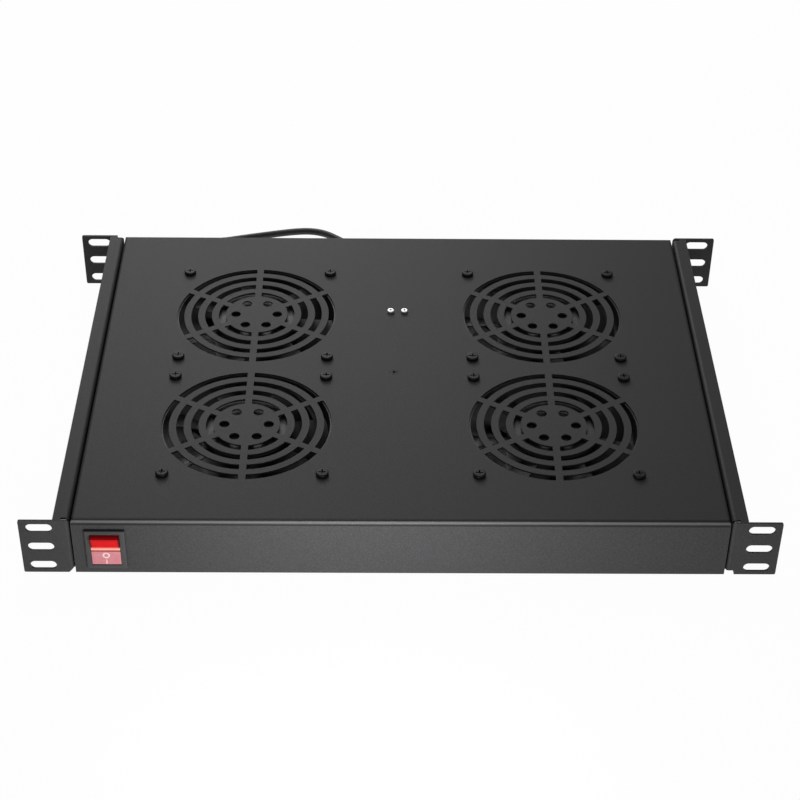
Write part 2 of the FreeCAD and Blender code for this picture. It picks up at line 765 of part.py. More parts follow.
def ring_between(name, inner, outer, low, high):
    """A plain ring about the fan's axis between two radii and two heights."""
    length = f"({high}) - ({low})"
    whole = rod(name + "_outer", outer, length, ("0", "0", low))
    return cut(name, whole, rod(name + "_inner", inner, f"{length} + 2", ("0", "0", f"({low}) - 1")))


def fan_stator():
    """The laminated core, with four pairs of pole slots, pressed on the frame's post."""
    core = ring_between("core_disc", "tube_radius", "core_radius", "core_low", "core_low + core_height")
    slots = []
    for n in range(2):
        slot = block(f"core_slot_{n}", ("-cage_radius", "cage_radius"), ("-1.5", "1.5"), ("core_low - 1", "core_low + core_height + 1"))
        slots.append(moved(f"core_slot_{n}_turned", slot, turn=90 * n + 22.5))
    keep_core = rod("core_keep", "tube_radius + 4", "fan_depth", ("0", "0", "0"))
    return cut("fan_stator", core, cut("core_slots", group("core_slot_pair", *slots), keep_core))


FAN_PIECES = {
    "frame": fan_frame(),
    "impeller": fan_impeller(),
    "cage": ring_between("fan_cage", "cage_radius", "hub_inside", "hub_low + 2", "hub_low + 2 + cage_height"),
    "shaft": rod("fan_shaft", "shaft_radius", "hub_high - 1 - shaft_end", ("0", "0", "shaft_end")),
    "bearings": group(
        "fan_bearing_pair",
        ring_between("fan_bearing_low", "shaft_radius + bearing_play", "bearing_radius",
                     "motor_plate_thickness + 2", "motor_plate_thickness + 2 + bearing_height"),
        ring_between("fan_bearing_high", "shaft_radius + bearing_play", "bearing_radius",
                     "motor_plate_thickness + tube_height - bearing_height - 1", "motor_plate_thickness + tube_height - 1"),
    ),
    "stator": fan_stator(),
    "windings": group(
        "fan_windings",
        ring_between("fan_winding_low", "tube_radius + 1", "coil_radius", "core_low - coil_height", "core_low"),
        ring_between("fan_winding_high", "tube_radius + 1", "coil_radius",
                     "core_low + core_height", "core_low + core_height + coil_height"),
    ),
}
TURNING = ("impeller", "cage", "shaft")


def fans():
    """Four fans under the tray, each impeller stopped at an angle of its own."""
    bearings = []
    for name, (x, y, angle) in FANS.items():
        for piece, solid in FAN_PIECES.items():
            label = f"{name}_fan_{piece}"
            copy = moved(label + "_placed", solid, x, y, "fan_base", angle if piece in TURNING else 0)
            if piece == "bearings":
                bearings.append(copy)
            else:
                keep(label, copy)
    keep("fan_bearings", group("fan_bearing_set", *bearings))


def fan_fasteners():
    """Sixteen screws down through the tray and the fans' upper flanges, with a nut under each."""
    top = size("tray_height")
    low = size("top_under") - size("fan_flange")
    keep("fan_screws", placed("fan_screw_set", m4_screw, [(Vector(x, y, top), UP) for x, y in fan_holes()]))
    keep("fan_nuts", placed("fan_nut_set", m4_nut, [(Vector(x, y, low), UP) for x, y in fan_holes()]))


def rail_fasteners():
    """Three screws a side through the rail, a spacer and the tray's wall, with a nut inside."""
    height = size("tray_height") / 2
    heads, nuts, spacers = [], [], []
    for y in rail_holes():
        for side in (-1, 1):
            outward = Vector(side, 0, 0)
            heads.append((Vector(side * size("web_far"), y, height), outward))
            nuts.append((Vector(side * (size("tray_half") - size("tray_sheet")), y, height), outward))
            near = Vector(side * size("tray_half"), y, height)
            tube = Part.makeCylinder(size("m4_head_radius"), size("rail_gap"), near, outward)
            spacers.append(tube.cut(Part.makeCylinder(size("m4_radius"), size("rail_gap"), near, outward)))
    keep("rail_screws", placed("rail_screw_set", m4_side_screw, heads))
    keep("rail_nuts", placed("rail_nut_set", m4_nut, nuts))
    keep("rail_spacers", shaped("rail_spacer_set", Part.makeCompound(spacers)))


# The mains rocker switch, snapped into the front wall from outside.
def switch_housing():
    body = new_body("switch_case")
    left, right = "switch_x - switch_width / 2", "switch_x + switch_width / 2"
    low, high = "switch_z - switch_body / 2", "switch_z + switch_body / 2"
    # The XZ plane faces the front, so a forward pad grows out of the wall.
    back = sketch_on(body, "switch_block", "XZ_Plane", "-switch_back")
    rectangle(back, left, right, low, high)
    pad(body, back, "switch_back - tray_front")
    face = sketch_on(body, "switch_face", "XZ_Plane", "-tray_front")
    rectangle(face, "switch_x - bezel_width / 2", "switch_x + bezel_width / 2",
              "switch_z - bezel_height / 2", "switch_z + bezel_height / 2")
    bezel = pad(body, face, "bezel_thickness")
    bend(body, bezel, "bezel_corner", ("y-", "x-"), ("y-", "x+"), ("y-", "z-"), ("y-", "z+"))
    well = sketch_on(body, "switch_well", "XZ_Plane", "-bezel_front")
    side = "(rocker_width / 2 + rocker_play)"
    tall = "(rocker_radius + rocker_play)"
    rectangle(well, f"switch_x - {side}", f"switch_x + {side}", f"switch_z - {tall}", f"switch_z + {tall}")
    pocket(body, well, "well_depth")
    pin = rod("switch_pin_hole", "pin_radius", "switch_width - 1", ("switch_x - switch_width / 2 + 0.5", "pivot_y", "switch_z"), "+X")
    lamp_room = rod("switch_lamp_room", "lamp_radius", "lamp_length",
                    ("switch_x - lamp_length / 2", "bezel_front + well_depth", "switch_z"), "+X")
    return keep("switch_housing", cut("switch_case_cut", body, pin, lamp_room))


def switch_rocker():
    """A V-faced rocker with round ends about its pin, held here with its lower half pressed in."""
    wide = "rocker_width"
    drum = rod("rocker_drum", "rocker_radius", wide, ("0", "0", "0"), "+X")
    back = block("rocker_back", ("-1", f"{wide} + 1"), ("rocker_thickness", "rocker_radius + 1"),
                 ("-rocker_radius - 1", "rocker_radius + 1"))
    hole = rod("rocker_hole", "pin_radius + pin_play", f"{wide} + 2", ("-1", "0", "0"), "+X")
    faces = []
    for side in (-1, 1):
        slab = doc.addObject("Part::Box", f"rocker_face_{side + 1}")
        bind(slab, Length=f"{wide} + 2", Width="3 * rocker_radius", Height="3 * rocker_radius")
        slope = side * size("rocker_slope")
        turn = FreeCAD.Rotation(Vector(1, 0, 0), slope)
        # The slab's corner sits in the valley and its rear side lies on the face.
        shift = turn.multVec(Vector(0, -3 * size("rocker_radius"), 0 if side > 0 else -3 * size("rocker_radius")))
        slab.Placement = FreeCAD.Placement(Vector(-1, shift.y - size("rocker_valley"), shift.z), turn)
        faces.append(slab)
    solid = cut("rocker_solid", drum, back, hole, *faces)
    tipped = moved("rocker_tipped", solid, "switch_x - rocker_width / 2", "pivot_y", "switch_z")
    tipped.Placement = FreeCAD.Placement(tipped.Placement.Base, FreeCAD.Rotation(Vector(1, 0, 0), size("rocker_slope")))
    return keep("switch_rocker", tipped)


def switch_inside():
    """The pivot pin, the neon lamp behind the rocker and four blade terminals."""
    keep("switch_pin", rod("switch_pin_rod", "pin_radius", "switch_width - 1",
                           ("switch_x - switch_width / 2 + 0.5", "pivot_y", "switch_z"), "+X"))
    keep("switch_lamp", rod("switch_lamp_tube", "lamp_radius", "lamp_length",
                            ("switch_x - lamp_length / 2", "bezel_front + well_depth", "switch_z"), "+X"))
    blades = []
    for i in (-1, 1):
        for j in (-1, 1):
            x, z = f"(switch_x + {i} * 5)", f"(switch_z + {j} * 7)"
            blades.append(block(f"switch_blade_{i + 1}{j + 1}", (f"{x} - blade_width / 2", f"{x} + blade_width / 2"),
                                ("switch_back", "switch_back + blade_length"), (f"{z} - blade_sheet / 2", f"{z} + blade_sheet / 2")))
    keep("switch_terminals", group("switch_blades", *blades))


# Cords and wires: straight runs joined by tangent arcs.
def tube(name, points, radius):
    """A round cord through its points, each arc as large as its two runs allow."""
    share = 0.45
    edges = []
    start = points[0]
    radii = []
    for before, corner, after in zip(points, points[1:], points[2:]):
        into = (corner - before).normalize()
        out = (after - corner).normalize()
        reach = share * min(corner.distanceToPoint(before), corner.distanceToPoint(after))
        half_turn = into.getAngle(out) / 2
        bend_radius = reach / math.tan(half_turn)
        radii.append(round(bend_radius, 1))
        first, last = corner - into * reach, corner + out * reach
        inward = (out - into).normalize()
        middle = corner + inward * (bend_radius / math.cos(half_turn) - bend_radius)
        edges.append(Part.LineSegment(start, first).toShape())
        edges.append(Part.Arc(first, middle, last).toShape())
        start = last
    edges.append(Part.LineSegment(start, points[-1]).toShape())
    path = Part.Wire(edges)
    along = points[1] - points[0]
    shape = path.makePipeShell([Part.Wire(Part.makeCircle(radius, points[0], along))], True, False)
    expected = math.pi * radius ** 2 * path.Length
    print(name, "length", round(path.Length, 1), "radii", radii, "volume", round(shape.Volume / expected, 4))
    return shape


def strain_relief():
    """A moulded bush in the rear wall: a collar on each side, and a tapered tail outside that is
    moulded onto the cord."""
    body = new_body("relief_bush")
    half = sketch_on(body, "relief_half", "XY_Plane")
    outline(half, [
        ("cord_radius", "-tray_sheet - relief_inside"), ("relief_flange - 1", "-tray_sheet - relief_inside"),
        ("relief_flange - 1", "-tray_sheet"), ("relief_neck", "-tray_sheet"), ("relief_neck", "0"),
        ("relief_flange", "0"), ("relief_flange", "2.5"), ("relief_tail + 1", "3.5"),
        ("relief_tail", "relief_tail_length"), ("0", "relief_tail_length"), ("0", "0"), ("cord_radius", "0"),
    ])
    turned(body, half, "Y_Axis")
    return keep("strain_relief", moved("relief_placed", body, "relief_x", "tray_rear", "relief_z"))


def power_cord():
    """The free cord: it drops from the bush to the floor, runs along it, turns in behind the
    tray and is folded into a tied hank there, with the plug beside it."""
    y, z = size("relief_end"), size("relief_z")
    floor = size("cord_radius")
    low, high = size("hank_low") + floor, size("hank_low") + 3 * floor
    far_row = size("hank_y") + size("hank_fold") + size("cord_width")
    near_row = size("hank_y") - size("hank_fold") - size("cord_width")
    left = size("hank_left")
    outward = [
        Vector(size("relief_x"), y, z), Vector(size("relief_x"), 188.5, z), Vector(-177.5, 200, 13),
        Vector(-171, 210, 10.5), Vector(-160.5, 218, 6.5), Vector(-143.5, 222.3, 2.8),
        Vector(-123.5, 228.1, floor), Vector(-103, 233.3, floor), Vector(-84, 237.7, floor),
        Vector(-70.5, 238.7, floor), Vector(-58.8, 235.1, floor), Vector(-49.5, 227.7, floor),
        Vector(-41, 219.9, floor), Vector(-30.5, 215.5, floor), Vector(left - 11.2, far_row, low),
        Vector(left, far_row + 0.01, low),
    ]
    keep("power_cord", shaped("power_cord_tube", tube("power_cord", outward, size("cord_radius"))))
    plug_z = size("plug_height") / 2
    plug_row = near_row + size("plug_aside")
    homeward = [
        Vector(left, near_row, high), Vector(left - 12, near_row, high), Vector(left - 23.6, near_row + 2.9, high + 0.3),
        Vector(left - 35.5, near_row + 8.2, plug_z), Vector(left - 47.2, plug_row, plug_z), Vector(left - size("plug_reach"), plug_row, plug_z),
    ]
    keep("power_cord_tail", shaped("power_cord_tail_tube", tube("power_cord_tail", homeward, size("cord_radius"))))


def stadium(name, radius, low, high):
    """A long round-ended slab of the hank's run and one end radius."""
    span = ("hank_left", "hank_left + hank_run")
    middle = block(name + "_middle", span, (f"hank_y - ({radius})", f"hank_y + ({radius})"), (low, high))
    ends = [rod(f"{name}_end_{n}", radius, f"({high}) - ({low})", (x, "hank_y", low)) for n, x in enumerate(span)]
    return joined(name, middle, *ends)


def cord_hank():
    """The outer shape of the folded cord: a long ring, two cords wide and two high."""
    high = "hank_low + 2 * cord_width"
    outer = stadium("hank_outer", "hank_outside", "hank_low", high)
    inner = stadium("hank_inner", "hank_fold - cord_radius", "hank_low - 1", high + " + 1")
    return keep("cord_hank", cut("hank_ring", outer, inner))


def cord_tie():
    """A twist tie round the hank's near side."""
    near = "(hank_y - hank_outside)"
    far = "(hank_y - hank_fold + cord_radius)"
    middle = "(hank_left + hank_run / 2)"
    across = (f"{middle} - tie_width / 2", f"{middle} + tie_width / 2")
    outer = block("tie_outer", across, (f"{near} - tie_sheet", f"{far} + tie_sheet"), ("0", "hank_low + 2 * cord_width + tie_sheet"))
    inner = block("tie_inner", (across[0] + " - 1", across[1] + " + 1"), (near, far), ("hank_low", "hank_low + 2 * cord_width"))
    return keep("cord_tie", cut("tie_loop", outer, inner))


def plug():
    """A moulded plug with a tapered boot, two flat blades and a round earth pin."""
    boot = "(hank_left - plug_reach)"
    middle = "(hank_y - hank_fold - cord_width + plug_aside)"
    axis = "(plug_height / 2)"
    cone = doc.addObject("Part::Cone", "plug_boot_cone")
    cone.Placement = FreeCAD.Placement(Vector(), FreeCAD.Rotation(Vector(0, 0, 1), Vector(-1, 0, 0)))
    bind(cone, Radius1="cord_radius + 1.4", Radius2="plug_height / 2 - 1.5", Height="plug_boot")
    bind(cone, Placement__Base__x=boot, Placement__Base__y=middle, Placement__Base__z=axis)
    near, far = f"({boot} - plug_boot)", f"({boot} - plug_boot - plug_length)"
    body = block("plug_block", (far, near), (f"{middle} - plug_width / 2", f"{middle} + plug_width / 2"), ("0", "plug_height"))
    soft = rounded("plug_soft", body, 3.5, ("y-", "z-"), ("y-", "z+"), ("y+", "z-"), ("y+", "z+"))
    keep("plug_body", joined("plug_solid", soft, cone))
    blades = []
    for side in (-1, 1):
        row = f"({middle} + {side} * plug_blade_pitch / 2)"
        blades.append(block(f"plug_blade_{side + 1}", (f"{far} - plug_blade_length", far),
                            (f"{row} - plug_blade_sheet / 2", f"{row} + plug_blade_sheet / 2"),
                            (f"{axis} + 2.5 - plug_blade_width / 2", f"{axis} + 2.5 + plug_blade_width / 2")))
    pin = rod("plug_earth_pin", "plug_pin_radius", "plug_blade_length + 2",
              (f"{far} - plug_blade_length - 2", middle, f"{axis} - 5"), "+X")
    keep("plug_pins", group("plug_pin_set", *blades, pin))


# The terminal block hangs from two screws in the middle of the tray.
def terminal_block():
    left, right = "block_x - block_width / 2", "block_x + block_width / 2"
    body = block("block_body", (left, right), ("block_y - block_depth / 2", "block_y + block_depth / 2"), ("block_low", "top_under"))
    tools, inserts, screws = [], [], []
    for n in (-1, 0, 1):
        x = f"(block_x + {n} * block_pitch)"
        tools.append(rod(f"block_bore_{n + 1}", "insert_radius", "block_depth + 2", (x, "block_y - block_depth / 2 - 1", "insert_z"), "+Y"))
        metal = rod(f"insert_{n + 1}", "insert_radius", "block_depth - 2", (x, "block_y - block_depth / 2 + 1", "insert_z"), "+Y")
        bore = rod(f"insert_bore_{n + 1}", "insert_bore", "block_depth + 2", (x, "block_y - block_depth / 2 - 1", "insert_z"), "+Y")
        seats = []
        for end in (-1, 1):
            y = f"(block_y + {end} * block_depth / 4)"
            tools.append(rod(f"block_well_{n + 1}{end + 1}", "m3_radius + 0.4", "block_height / 2 + 1", (x, y, "block_low - 1")))
            seats.append(rod(f"insert_seat_{n + 1}{end + 1}", "m3_radius", "insert_radius + 1", (x, y, "insert_z - insert_radius - 1")))
            screws.append(rod(f"insert_screw_{n + 1}{end + 1}", "m3_radius", "insert_radius + 1.5", (x, y, "insert_z - insert_radius - 2.5")))
        inserts.append(cut(f"insert_tube_{n + 1}", metal, bore, *seats))
    for side in (-1, 1):
        tools.append(rod(f"block_mount_{side + 1}", "m3_radius", "block_height + 2", (f"block_x + {side} * block_pitch / 2", "block_y", "block_low - 1")))
    keep("terminal_block", cut("block_cut", body, *tools))
    keep("terminal_inserts", group("block_inserts", *inserts))
    keep("terminal_screws", group("block_clamps", *screws))
    y = size("block_y")
    keep("block_screws", placed("block_screw_set", m3_screw, [(Vector(x, y, size("tray_height")), UP) for x in block_holes()]))
    keep("block_nuts", placed("block_nut_set", m3_nut, [(Vector(x, y, size("block_low")), UP) for x in block_holes()]))


def earth_point():
    """A countersunk screw through the tray that clamps the earth lug."""
    x, y = size("earth_x"), size("earth_y")
    under, sheet = size("top_under"), size("lug_sheet")
    keep("earth_screw", placed("earth_screw_set", m4_sunk_screw, [(Vector(x, y, size("tray_height")), UP)]))
    ring = ring_between("lug_ring", "m4_radius", "lug_radius", "-lug_sheet", "0")
    tongue = block("lug_tongue", ("-wire_radius", "wire_radius"), ("m4_radius + 1", "lug_radius + 6"), ("-lug_sheet", "0"))
    barrel = rod("lug_barrel", "wire_radius + 0.5", "6", ("0", "lug_radius + 4", "-wire_radius - 0.5"), "+Y")
    hollow = rod("lug_hollow", "wire_radius", "8", ("0", "lug_radius + 5", "-wire_radius - 0.5"), "+Y")
    keep("earth_lug", moved("lug_placed", cut("lug", joined("lug_blank", ring, tongue, barrel), hollow),
                            "earth_x", "earth_y", "top_under"))
    keep("earth_nut", placed("earth_nut_set", m4_nut, [(Vector(x, y, under - sheet), UP)]))


def wiring():
    """Leads held inside the tray, from the bush to the switch, the block, the earth and the fans."""
    wire = size("wire_radius")
    bush_x, bush_z = size("relief_x"), size("relief_z")
    hang = size("top_under") - size("lead_hang")
    core_end = size("switch_back") + size("sheath_end")
    core_z = size("switch_z") + 5
    rear = size("wall_rear")
    sheath = [Vector(bush_x, size("tray_rear"), bush_z), Vector(bush_x, rear - 18, bush_z), Vector(bush_x - 3, rear - 55, hang),
              Vector(bush_x - 3, core_end + 45, hang), Vector(bush_x, core_end + 16, core_z), Vector(bush_x, core_end, core_z)]
    keep("inner_cord", shaped("inner_cord_tube", tube("inner_cord", sheath, size("cord_radius"))))

    # Three cores leave the sheath as a triangle; two feed the switch and the earth goes on.
    spread = size("lead_spread")
    blade_end = size("switch_back") + size("blade_length")
    sx, sz = size("switch_x"), size("switch_z")
    fan_front = size("fan_middle_y") - size("fan_pitch_y") / 2 - size("fan_size") / 2
    loom_y = (size("tray_front") + fan_front) / 2
    loom_x = sx + 40
    low_z, high_z = sz - 7, sz + 7
    ahead = Vector(0, -6, 0)
    line_start, neutral_start, earth_start = (
        Vector(bush_x - spread, core_end, core_z - 0.8), Vector(bush_x + spread, core_end, core_z - 0.8), Vector(bush_x, core_end, core_z + 1.5))
    routes = {
        "core_line": [line_start, line_start + ahead, Vector(sx + 1, blade_end + 12.5, sz - 2.5),
                      Vector(sx - 5, blade_end + 8, low_z), Vector(sx - 5, blade_end, low_z)],
        "core_neutral": [neutral_start, neutral_start + ahead, Vector(sx + 7.5, blade_end + 12.5, sz - 2),
                         Vector(sx + 5, blade_end + 8, low_z), Vector(sx + 5, blade_end, low_z)],
        "core_earth": [earth_start, earth_start + ahead, Vector(sx + 16.5, blade_end + 11, sz + 5),
                       Vector(sx + 22.5, blade_end + 2, sz + 9), Vector(sx + 23, loom_y + 1.3, hang + 0.2), Vector(loom_x, loom_y + 1.3, hang + 0.5)],
        "switched_line": [Vector(sx - 5, blade_end, high_z), Vector(sx - 5, blade_end + 9.5, high_z), Vector(sx + 2.5, blade_end + 17, sz + 9),
                          Vector(sx + 13, blade_end + 16, sz + 11), Vector(sx + 19, blade_end + 4.5, sz + 11),
                          Vector(sx + 20, loom_y, hang - 1.7), Vector(loom_x, loom_y, hang - 1.5)],
        "switched_neutral": [Vector(sx + 5, blade_end, high_z), Vector(sx + 5, blade_end + 6.5, high_z), Vector(sx + 11, blade_end + 10, sz + 10),
                             Vector(sx + 16, blade_end + 2.5, sz + 13.5), Vector(sx + 17, loom_y - 1.3, hang + 0.4), Vector(loom_x, loom_y - 1.3, hang + 0.5)],
    }
    keep("switch_leads", shaped("switch_lead_set", Part.makeCompound([tube(n, p, wire) for n, p in routes.items()])))

    # A sleeved loom carries the switched cores along the front bay and up the middle.
    fan_side = size("fan_pitch_x") / 2 - size("fan_size") / 2
    lane_x = (size("block_x") + size("block_width") / 2 + fan_side) / 2
    block_rear = size("block_y") + size("block_depth") / 2
    insert_z = size("insert_z")
    lane_z = size("block_low") - 5
    loom_end = block_rear + 12
    loom = [Vector(loom_x, loom_y, hang), Vector(lane_x - 22, loom_y, hang), Vector(lane_x, loom_y + 26, hang - 4),
            Vector(lane_x, loom_y + 100, lane_z), Vector(lane_x - 1, block_rear - 30, lane_z), Vector(lane_x, loom_end, lane_z)]
    keep("wiring_loom", shaped("wiring_loom_tube", tube("wiring_loom", loom, size("loom_radius"))))
    leads = []
    last_way = (loom[-1] - loom[-2]).normalize()
    for n in (-1, 0, 1):
        insert_x = size("block_x") + n * size("block_pitch")
        start = Vector(lane_x - n * spread, loom_end, lane_z + (1.5 if n == 0 else -0.8))
        leads.append(tube(f"block_lead_{n + 1}", [
            start, start + last_way * 7, Vector((start.x + insert_x) / 2, loom_end + 17 - 5 * n, (start.z + insert_z) / 2),
            Vector(insert_x, loom_end + 2 - 2 * n, insert_z), Vector(insert_x, block_rear - 1, insert_z),
        ], wire))

    # A twin cord from each fan's plug to the front of the block, and the lead to the earth lug.
    block_front = size("block_y") - size("block_depth") / 2
    plug_z = size("fan_base") + size("fan_flange") + 8
    cords, plugs = [], []
    for i in (-1, 1):
        for j in (-1, 1):
            face_x = i * (fan_side - size("fan_plug_length") / 2)
            y = size("fan_middle_y") + j * (size("fan_pitch_y") / 2 - 35)
            end_x = size("block_x") + i * (12 if j > 0 else 6)
            half = size("fan_plug_width") / 2
            corner = Vector(face_x if i > 0 else face_x - size("fan_plug_length"), y - half, plug_z - size("fan_plug_height") / 2)
            plugs.append(Part.makeBox(size("fan_plug_length"), 2 * half, size("fan_plug_height"), corner))
            climb = block_front - (19 if j > 0 else 40)
            cords.append(tube(f"fan_cord_{i + 1}{j + 1}", [
                Vector(face_x, y, plug_z), Vector(0.6 * end_x + 0.4 * face_x, y, plug_z), Vector(end_x + i, max(y + 9, climb - 12), plug_z + 1),
                Vector(end_x, climb + 8, insert_z), Vector(end_x, block_front, insert_z),
            ], size("fan_cord_radius")))
    keep("fan_plugs", shaped("fan_plug_set", Part.makeCompound(plugs)))
    keep("fan_cords", shaped("fan_cord_set", Part.makeCompound(cords)))
    lug_y = size("earth_y") + size("lug_radius") + 5
    lug_z = size("top_under") - wire - 0.5
    leads.append(tube("earth_lead", [
        Vector(size("earth_x"), lug_y, lug_z), Vector(size("earth_x"), lug_y + 16, lug_z),
        Vector(size("block_x"), block_front - 16, insert_z), Vector(size("block_x"), block_front + 1, insert_z),
    ], wire))
    keep("block_leads", shaped("block_lead_set", Part.makeCompound(leads)))

    # Moulded clips hold the sheath and the loom under the tray.
    clips = []
    for x, y, radius, way in (
        (bush_x - 3, size("tray_middle") + 60, size("cord_radius"), Vector(0, 1, 0)),
        (bush_x - 3, size("tray_middle") - 20, size("cord_radius"), Vector(0, 1, 0)),
        (loom_x + 35, loom_y, size("loom_radius"), Vector(1, 0, 0)),
        (loom_x + 115, loom_y, size("loom_radius"), Vector(1, 0, 0)),
    ):
        middle = Vector(x, y, hang)
        across = size("clip_pad") / 2
        collar = Part.makeCylinder(radius + size("clip_wall"), size("clip_width"), middle - way * (size("clip_width") / 2), way)
        foot = Part.makeBox(2 * across, 2 * across, size("clip_height"), Vector(x - across, y - across, size("top_under") - size("clip_height")))
        bore = Part.makeCylinder(radius, 3 * across, middle - way * (1.5 * across), way)
        clips.append(collar.fuse(foot).cut(bore))
    keep("cable_clips", shaped("cable_clip_set", Part.makeCompound(clips)))


tray_body()
rail("left_rail", -1)
rail("right_rail", 1)
fans()
fan_fasteners()
rail_fasteners()
switch_housing()
switch_rocker()
switch_inside()
strain_relief()
power_cord()
cord_hank()
cord_tie()
plug()
terminal_block()
earth_point()
wiring()

doc.recompute()
for thing in doc.Objects:
    if "Invalid" in thing.State or "Error" in thing.State:
        raise RuntimeError(f"{thing.Name} did not recompute: {thing.State}")
for solid in finished:
    if solid.Shape.isNull() or not solid.Shape.isValid():
        raise RuntimeError(f"{solid.Label} has no valid shape")
    print(solid.Label, len(solid.Shape.Solids), round(solid.Shape.Volume, 1))
for solid in finished:
    solid.Shape.exportStep(f"parts/{solid.Label}.step")
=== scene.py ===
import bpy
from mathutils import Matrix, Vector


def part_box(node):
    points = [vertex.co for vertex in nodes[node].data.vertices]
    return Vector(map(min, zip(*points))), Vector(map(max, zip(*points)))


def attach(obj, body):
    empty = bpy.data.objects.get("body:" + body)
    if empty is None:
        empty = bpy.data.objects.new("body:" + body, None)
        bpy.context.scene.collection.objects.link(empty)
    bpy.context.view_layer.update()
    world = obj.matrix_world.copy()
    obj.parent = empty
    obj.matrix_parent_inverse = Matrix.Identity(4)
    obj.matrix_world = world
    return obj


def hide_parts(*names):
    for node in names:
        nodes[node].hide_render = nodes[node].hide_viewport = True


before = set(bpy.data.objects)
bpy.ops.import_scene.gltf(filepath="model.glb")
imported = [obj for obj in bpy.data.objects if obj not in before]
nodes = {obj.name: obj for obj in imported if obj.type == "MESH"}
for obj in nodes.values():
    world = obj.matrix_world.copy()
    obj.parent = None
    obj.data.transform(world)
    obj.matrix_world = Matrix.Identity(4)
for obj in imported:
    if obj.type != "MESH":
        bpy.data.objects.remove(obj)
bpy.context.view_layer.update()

import math

import bmesh
import bpy
from mathutils import Vector

scene = bpy.context.scene
scene.view_settings.view_transform = "Standard"


# The camera stands in front of the tray and above it, a little to the left of its middle, and
# looks down at the tray through a long lens.
camera = bpy.data.objects.new("camera", bpy.data.cameras.new("camera"))
scene.collection.objects.link(camera)
camera.location = (-0.014583, -1.072038, 0.854170)
camera.rotation_euler = [math.radians(turn) for turn in (51.95492, -0.59267, -0.33823)]
camera.data.sensor_width = 36
camera.data.lens = 85.97
scene.camera = camera


# The mains cord: 5.5 mm black sheath, one smooth line from the bush in the rear wall down to the
# floor, along it, and into a hank of four turns behind the tray that a twist tie holds.
HANK_MIDDLE = 0.192202
HANK_LEFT, HANK_RIGHT = -0.008, 0.102
HANK_RUN = (0.007, 0.027, 0.047, 0.067, 0.087)
WIDE, NARROW = 0.022, 0.0165
LOWER, UPPER = 0.00325, 0.00875
CORD_RADIUS = 0.00275
ON_FLOOR = CORD_RADIUS
FOLD_STEPS = 5


def fold(middle_x, start_angle, radii, heights):
    """Half a turn about one end of the hank. The line touches its circle between the points."""
    points = []
    step_angle = 180 / FOLD_STEPS
    for step in range(FOLD_STEPS):
        share = step / (FOLD_STEPS - 1)
        angle = math.radians(start_angle - step_angle * (step + 0.5))
        reach = (radii[0] + (radii[1] - radii[0]) * share) / math.cos(math.radians(step_angle / 2))
        rise = heights[0] + (heights[1] - heights[0]) * share
        points.append((middle_x + reach * math.cos(angle), HANK_MIDDLE + reach * math.sin(angle), rise))
    return points


def hank_turn(radii, heights, last=False):
    """One turn of the hank from its far left corner. Its left fold leads to the next turn's row."""
    radius, height = radii[0], heights[0]
    points = [(x, HANK_MIDDLE + radius, height) for x in HANK_RUN]
    points += fold(HANK_RIGHT, 90, (radius, radius), (height, height))
    points += [(x, HANK_MIDDLE - radius, height) for x in reversed(HANK_RUN)]
    if not last:
        points += fold(HANK_LEFT, -90, radii, heights)
    return points


cord_route = [
    (-0.180, 0.180852, 0.014), (-0.180, 0.1885, 0.014), (-0.1775, 0.200, 0.013),
    (-0.171, 0.210, 0.0105), (-0.1605, 0.218, 0.0065), (-0.1435, 0.2223, 0.0028),
    (-0.1235, 0.2281, ON_FLOOR), (-0.103, 0.2333, ON_FLOOR), (-0.084, 0.2377, ON_FLOOR),
    (-0.0705, 0.2387, ON_FLOOR), (-0.0588, 0.2351, ON_FLOOR), (-0.0495, 0.2277, ON_FLOOR),
    (-0.041, 0.2199, ON_FLOOR), (-0.0305, 0.2155, ON_FLOOR),
    (-0.0192, HANK_MIDDLE + WIDE, LOWER), (HANK_LEFT, HANK_MIDDLE + WIDE, LOWER),
]
cord_route += hank_turn((WIDE, NARROW), (LOWER, LOWER))
cord_route += hank_turn((NARROW, NARROW), (LOWER, UPPER))
cord_route += hank_turn((NARROW, WIDE), (UPPER, UPPER))
cord_route += hank_turn((WIDE, WIDE), (UPPER, UPPER), last=True)
LAST_ROW, PLUG_ROW, PLUG_HEIGHT = 0.170202, 0.181202, 0.0095
cord_route += [
    (HANK_LEFT, LAST_ROW, UPPER), (-0.020, LAST_ROW, UPPER), (-0.0316, 0.173102, 0.00905),
    (-0.0435, 0.178402, PLUG_HEIGHT), (-0.0552, PLUG_ROW, PLUG_HEIGHT), (-0.066, PLUG_ROW, PLUG_HEIGHT),
]
curve = bpy.data.curves.new("mains_cord", "CURVE")
curve.dimensions = "3D"
line = curve.splines.new("NURBS")
line.points.add(len(cord_route) - 1)
for point, place in zip(line.points, cord_route):
    point.co = (*place, 1)
    point.radius = CORD_RADIUS
line.order_u = 3
line.use_endpoint_u = True
line.resolution_u = 12
curve.bevel_depth = 1
curve.bevel_resolution = 6
curve.use_fill_caps = True
cord = bpy.data.objects.new("mains_cord", curve)
scene.collection.objects.link(cord)
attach(cord, "chassis")
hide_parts("power_cord", "cord_hank", "power_cord_tail")


# The room: a white floor, a pale even sky and three soft lamps. The floor looks white outside the
# shade under the tray, throws a little light back up at the tray, and is clear from below.
FLOOR_REACH = 6.0
FLOOR_WHITE = 0.975
FLOOR_BOUNCE = 0.27
SKY_LIGHT = 0.3


